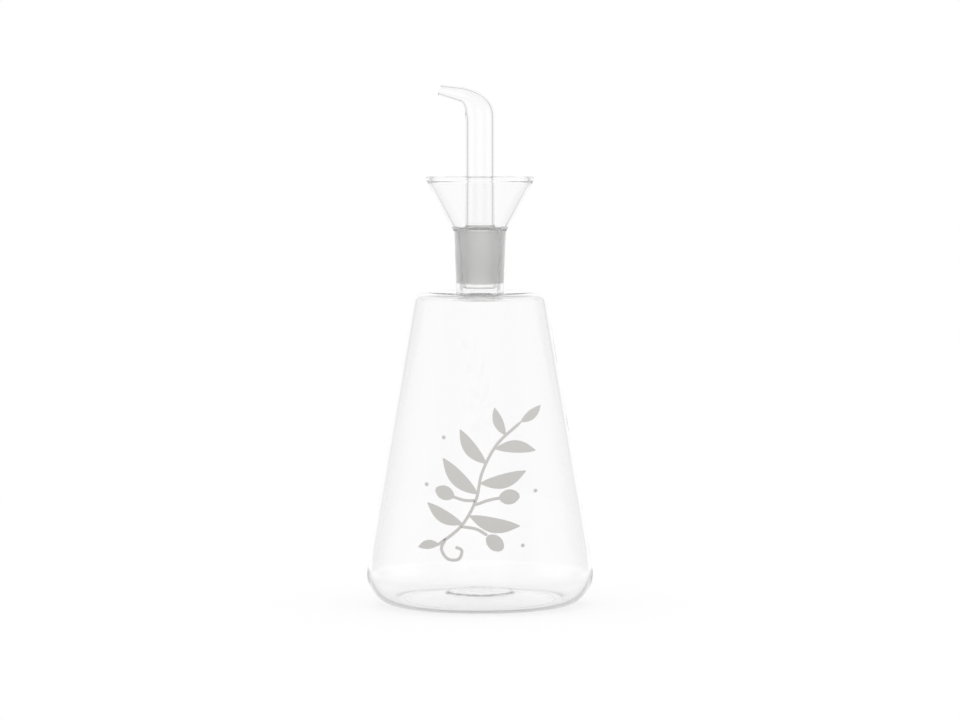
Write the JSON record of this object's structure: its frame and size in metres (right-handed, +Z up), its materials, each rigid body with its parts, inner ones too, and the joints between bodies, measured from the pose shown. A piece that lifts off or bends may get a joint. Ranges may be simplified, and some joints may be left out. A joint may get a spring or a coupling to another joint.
{
  "type": "glass oil bottle with pouring stopper",
  "caption": "Conical clear glass oil cruet with a drip-catching funnel on its neck and a ground glass pouring stopper that lifts out.",
  "frame": {"origin": "centre of the foot, on the table", "axes": "+Z up along the bottle's axis; the spout pours towards -X"},
  "size_m": [0.1082, 0.1082, 0.2483],
  "materials": {
    "clear_glass": "polished",
    "ground_glass": "ground, frosted",
    "enamel": "fired enamel, satin"
  },
  "bodies": {
    "bottle": {"bottle_body": "clear_glass", "neck_socket": "ground_glass", "drip_funnel": "clear_glass"},
    "stopper": {"stopper_cone": "ground_glass", "pour_spout": "clear_glass"}
  },
  "joints": [
    {"name": "stopper_lift", "type": "slide", "parent": "bottle", "child": "stopper", "axis": [0, 0, 1], "range_m": [0, 0.06]}
  ]
}
